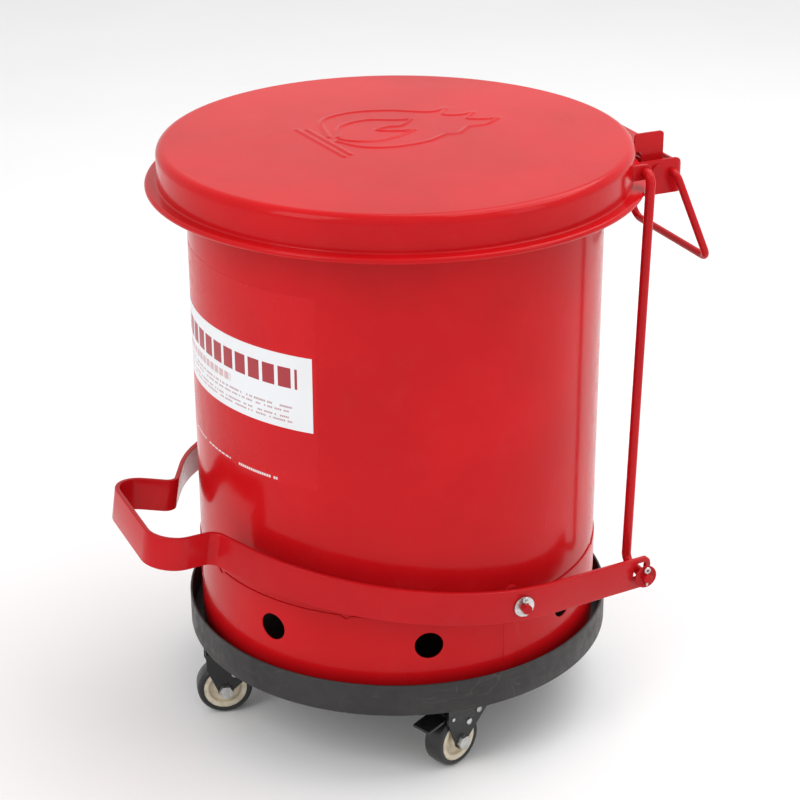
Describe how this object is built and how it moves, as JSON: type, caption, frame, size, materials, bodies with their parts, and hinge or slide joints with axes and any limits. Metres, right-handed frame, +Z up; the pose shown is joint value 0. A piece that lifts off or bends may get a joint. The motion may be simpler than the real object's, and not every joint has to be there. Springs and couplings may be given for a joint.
{
  "type": "oily waste can",
  "caption": "Round steel oily waste can with a foot-operated hinged lid, a hoop pedal with a lift rod, a rear carrying handle and a swivel-caster dolly.",
  "frame": {"origin": "on the can's axis at floor level, under the wheels", "axes": "+Z up, pedal towards -Y, lid hinge and carrying handle towards +Y, lift rod on the +X side"},
  "size_m": [0.486, 0.6119, 0.596],
  "materials": {
    "red_enamel": "high-gloss baked enamel",
    "red_fittings": "gloss enamel over formed steel",
    "red_hardware": "gloss enamel over rivets and pins",
    "zinc": "zinc-plated",
    "label": "white vinyl band",
    "black_enamel": "satin black enamel",
    "black_caster": "satin black",
    "tyre": "moulded rubber",
    "wheel_plastic": "moulded cream plastic"
  },
  "bodies": {
    "dolly": {"dolly_floor": "black_enamel", "dolly_ring": "black_enamel", "caster_plate_1": "black_caster", "caster_plate_2": "black_caster", "caster_plate_3": "black_caster", "caster_plate_4": "black_caster", "plate_bolts": "zinc"},
    "can": {"can_shell": "red_enamel", "can_bottom": "red_enamel", "base_skirt": "red_enamel", "label_band": "label", "hinge_bracket": "red_fittings", "bracket_rivets": "red_hardware", "hinge_pin": "red_hardware", "hinge_spacers": "red_hardware", "pedal_studs": "red_hardware", "pivot_washers": "zinc", "pivot_cotters": "zinc"},
    "lid": {"lid_cover": "red_enamel", "hinge_leaf": "red_fittings", "leaf_rivets": "red_hardware", "lift_lug": "red_fittings"},
    "rod": {"lift_rod": "red_fittings", "rod_cap": "red_hardware", "rod_washer": "red_hardware", "rod_cotter": "zinc"},
    "pedal": {"pedal_loop": "red_fittings"},
    "handle": {"carry_handle": "red_fittings"},
    "swivel_1": {"caster_fork_1": "black_caster", "axle_bolt_1": "zinc", "brake_pin_1": "zinc"},
    "wheel_1": {"tyre_1": "tyre", "wheel_hub_1": "wheel_plastic"},
    "brake_1": {"brake_lever_1": "black_caster"},
    "swivel_2": {"caster_fork_2": "black_caster", "axle_bolt_2": "zinc"},
    "wheel_2": {"tyre_2": "tyre", "wheel_hub_2": "wheel_plastic"},
    "swivel_3": {"caster_fork_3": "black_caster", "axle_bolt_3": "zinc", "brake_pin_3": "zinc"},
    "wheel_3": {"tyre_3": "tyre", "wheel_hub_3": "wheel_plastic"},
    "brake_3": {"brake_lever_3": "black_caster"},
    "swivel_4": {"caster_fork_4": "black_caster", "axle_bolt_4": "zinc"},
    "wheel_4": {"tyre_4": "tyre", "wheel_hub_4": "wheel_plastic"}
  },
  "joints": [
    {"name": "can_lift", "type": "slide", "parent": "dolly", "child": "can", "axis": [0, 0, 1], "range_m": [0, 0.12]},
    {"name": "lid_hinge", "type": "hinge", "parent": "can", "child": "lid", "pos_m": [0, 0.262, 0.543], "axis": [-1, 0, 0], "range_deg": [0, 55]},
    {"name": "pedal_pivot", "type": "hinge", "parent": "can", "child": "pedal", "pos_m": [0, 0.03, 0.1905], "axis": [1, 0, 0], "range_deg": [0, 16.1]},
    {"name": "rod_pivot", "type": "hinge", "parent": "lid", "child": "rod", "pos_m": [0.14, 0.1965, 0.576], "axis": [1, 0, 0], "range_deg": [0, 47.4]},
    {"name": "handle_swing", "type": "hinge", "parent": "can", "child": "handle", "pos_m": [0, 0.2795, 0.54], "axis": [1, 0, 0], "range_deg": [-35, 60]},
    {"name": "swivel_turn_1", "type": "hinge", "parent": "dolly", "child": "swivel_1", "pos_m": [0.172, 0, 0.075], "axis": [0, 0, 1], "continuous": true},
    {"name": "wheel_roll_1", "type": "hinge", "parent": "swivel_1", "child": "wheel_1", "pos_m": [0.1806, -0.02241, 0.029], "axis": [-0.9336, -0.3584, 0], "continuous": true},
    {"name": "brake_press_1", "type": "hinge", "parent": "swivel_1", "child": "brake_1", "pos_m": [0.18526, -0.03454, 0.06], "axis": [0.9336, 0.3584, 0], "range_deg": [0, 15]},
    {"name": "swivel_turn_2", "type": "hinge", "parent": "dolly", "child": "swivel_2", "pos_m": [0, 0.172, 0.075], "axis": [0, 0, 1], "continuous": true},
    {"name": "wheel_roll_2", "type": "hinge", "parent": "swivel_2", "child": "wheel_2", "pos_m": [0.02193, 0.18176, 0.029], "axis": [0.4067, -0.9135, 0], "continuous": true},
    {"name": "swivel_turn_3", "type": "hinge", "parent": "dolly", "child": "swivel_3", "pos_m": [-0.172, 0, 0.075], "axis": [0, 0, 1], "continuous": true},
    {"name": "wheel_roll_3", "type": "hinge", "parent": "swivel_3", "child": "wheel_3", "pos_m": [-0.18327, 0.02119, 0.029], "axis": [0.8829, 0.4695, 0], "continuous": true},
    {"name": "brake_press_3", "type": "hinge", "parent": "swivel_3", "child": "brake_3", "pos_m": [-0.18937, 0.03267, 0.06], "axis": [-0.8829, -0.4695, 0], "range_deg": [0, 15]},
    {"name": "swivel_turn_4", "type": "hinge", "parent": "dolly", "child": "swivel_4", "pos_m": [0, -0.172, 0.075], "axis": [0, 0, 1], "continuous": true},
    {"name": "wheel_roll_4", "type": "hinge", "parent": "swivel_4", "child": "wheel_4", "pos_m": [-0.00581, -0.19529, 0.029], "axis": [-0.9703, 0.2419, 0], "continuous": true}
  ],
  "couplings": [
    {"joint": "pedal_pivot", "follows": "lid_hinge", "ratio": 0.2904},
    {"joint": "rod_pivot", "follows": "lid_hinge", "ratio": 0.8604}
  ]
}
